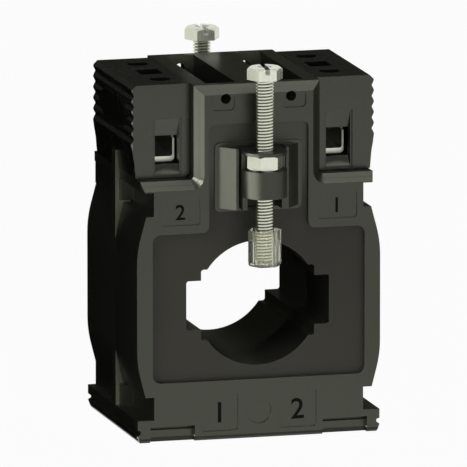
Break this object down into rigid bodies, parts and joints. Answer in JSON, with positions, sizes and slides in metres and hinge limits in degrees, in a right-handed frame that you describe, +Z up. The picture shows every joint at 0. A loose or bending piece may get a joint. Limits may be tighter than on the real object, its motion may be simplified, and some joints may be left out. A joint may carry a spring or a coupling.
{
  "type": "current transformer",
  "caption": "Window-type current transformer in a split moulded case, with clamp screws for a cable or busbar through its opening and screw terminals under lift-off covers.",
  "frame": {"origin": "middle of the underside of the base", "axes": "+Z up, Y through the opening with the front at -Y, X across the terminals"},
  "size_m": [0.056, 0.0638, 0.0848],
  "materials": {
    "case_plastic": "dark grey moulded plastic, fine satin grain, slightly browner in the recessed fields",
    "cover_plastic": "dark grey moulded plastic, fine satin grain",
    "nickel_steel": "bright nickel-plated steel",
    "tinned_sheet": "tin-plated sheet, satin",
    "clear_cap": "clear moulded plastic",
    "core_steel": "wound silicon-steel strip",
    "enamelled_copper": "enamelled copper wire",
    "insulation": "yellowish insulating film and tape"
  },
  "bodies": {
    "root": {"front_case": "case_plastic", "rear_case": "case_plastic", "ring_core": "core_steel", "core_end_ring_front": "insulation", "core_end_ring_rear": "insulation", "secondary_winding": "enamelled_copper", "winding_tape": "insulation", "secondary_lead_left": "enamelled_copper", "secondary_lead_right": "enamelled_copper", "nut_carrier_front": "case_plastic", "nut_carrier_rear": "case_plastic", "clamp_nut_front": "nickel_steel", "clamp_nut_rear": "nickel_steel", "terminal_base_left": "case_plastic", "terminal_base_right": "case_plastic", "terminal_bar_left": "tinned_sheet", "terminal_bar_right": "tinned_sheet"},
    "terminal_cover_left": {"terminal_cover_left": "cover_plastic"},
    "terminal_cover_right": {"terminal_cover_right": "cover_plastic"},
    "clamp_cap_front": {"clamp_cap_front": "clear_cap"},
    "clamp_screw_front": {"clamp_screw_front": "nickel_steel"},
    "clamp_cap_rear": {"clamp_cap_rear": "clear_cap"},
    "clamp_screw_rear": {"clamp_screw_rear": "nickel_steel"},
    "pressure_plate_left_front": {"pressure_plate_left_front": "tinned_sheet"},
    "terminal_screw_left_front": {"terminal_screw_left_front": "nickel_steel"},
    "pressure_plate_left_rear": {"pressure_plate_left_rear": "tinned_sheet"},
    "terminal_screw_left_rear": {"terminal_screw_left_rear": "nickel_steel"},
    "pressure_plate_right_front": {"pressure_plate_right_front": "tinned_sheet"},
    "terminal_screw_right_front": {"terminal_screw_right_front": "nickel_steel"},
    "pressure_plate_right_rear": {"pressure_plate_right_rear": "tinned_sheet"},
    "terminal_screw_right_rear": {"terminal_screw_right_rear": "nickel_steel"}
  },
  "joints": [
    {"name": "cover_left_lift", "type": "slide", "parent": "root", "child": "terminal_cover_left", "axis": [0, 0, 1], "range_m": [0, 0.024]},
    {"name": "cover_right_lift", "type": "slide", "parent": "root", "child": "terminal_cover_right", "axis": [0, 0, 1], "range_m": [0, 0.024]},
    {"name": "clamp_front_travel", "type": "slide", "parent": "root", "child": "clamp_cap_front", "axis": [0, 0, 1], "range_m": [-0.0154, 0.007]},
    {"name": "clamp_front_turn", "type": "hinge", "parent": "clamp_cap_front", "child": "clamp_screw_front", "pos_m": [0, -0.0269, 0.06], "axis": [0, 0, 1], "range_deg": [-7922, 3602]},
    {"name": "clamp_rear_travel", "type": "slide", "parent": "root", "child": "clamp_cap_rear", "axis": [0, 0, 1], "range_m": [-0.0154, 0.007]},
    {"name": "clamp_rear_turn", "type": "hinge", "parent": "clamp_cap_rear", "child": "clamp_screw_rear", "pos_m": [0, 0.0269, 0.06], "axis": [0, 0, 1], "range_deg": [-7922, 3602]},
    {"name": "terminal_left_front_travel", "type": "slide", "parent": "root", "child": "pressure_plate_left_front", "axis": [0, 0, 1], "range_m": [-0.0045, 0]},
    {"name": "terminal_left_front_turn", "type": "hinge", "parent": "pressure_plate_left_front", "child": "terminal_screw_left_front", "pos_m": [-0.01955, -0.0098, 0.072], "axis": [0, 0, 1], "range_deg": [-3242, 1]},
    {"name": "terminal_left_rear_travel", "type": "slide", "parent": "root", "child": "pressure_plate_left_rear", "axis": [0, 0, 1], "range_m": [-0.0045, 0]},
    {"name": "terminal_left_rear_turn", "type": "hinge", "parent": "pressure_plate_left_rear", "child": "terminal_screw_left_rear", "pos_m": [-0.01955, 0.0098, 0.072], "axis": [0, 0, 1], "range_deg": [-3242, 1]},
    {"name": "terminal_right_front_travel", "type": "slide", "parent": "root", "child": "pressure_plate_right_front", "axis": [0, 0, 1], "range_m": [-0.0045, 0]},
    {"name": "terminal_right_front_turn", "type": "hinge", "parent": "pressure_plate_right_front", "child": "terminal_screw_right_front", "pos_m": [0.01955, -0.0098, 0.072], "axis": [0, 0, 1], "range_deg": [-3242, 1]},
    {"name": "terminal_right_rear_travel", "type": "slide", "parent": "root", "child": "pressure_plate_right_rear", "axis": [0, 0, 1], "range_m": [-0.0045, 0]},
    {"name": "terminal_right_rear_turn", "type": "hinge", "parent": "pressure_plate_right_rear", "child": "terminal_screw_right_rear", "pos_m": [0.01955, 0.0098, 0.072], "axis": [0, 0, 1], "range_deg": [-3242, 1]}
  ],
  "couplings": [
    {"joint": "clamp_front_turn", "follows": "clamp_front_travel", "rad_per_m": 8976},
    {"joint": "clamp_rear_turn", "follows": "clamp_rear_travel", "rad_per_m": 8976},
    {"joint": "terminal_left_front_turn", "follows": "terminal_left_front_travel", "rad_per_m": 12566},
    {"joint": "terminal_left_rear_turn", "follows": "terminal_left_rear_travel", "rad_per_m": 12566},
    {"joint": "terminal_right_front_turn", "follows": "terminal_right_front_travel", "rad_per_m": 12566},
    {"joint": "terminal_right_rear_turn", "follows": "terminal_right_rear_travel", "rad_per_m": 12566}
  ]
}
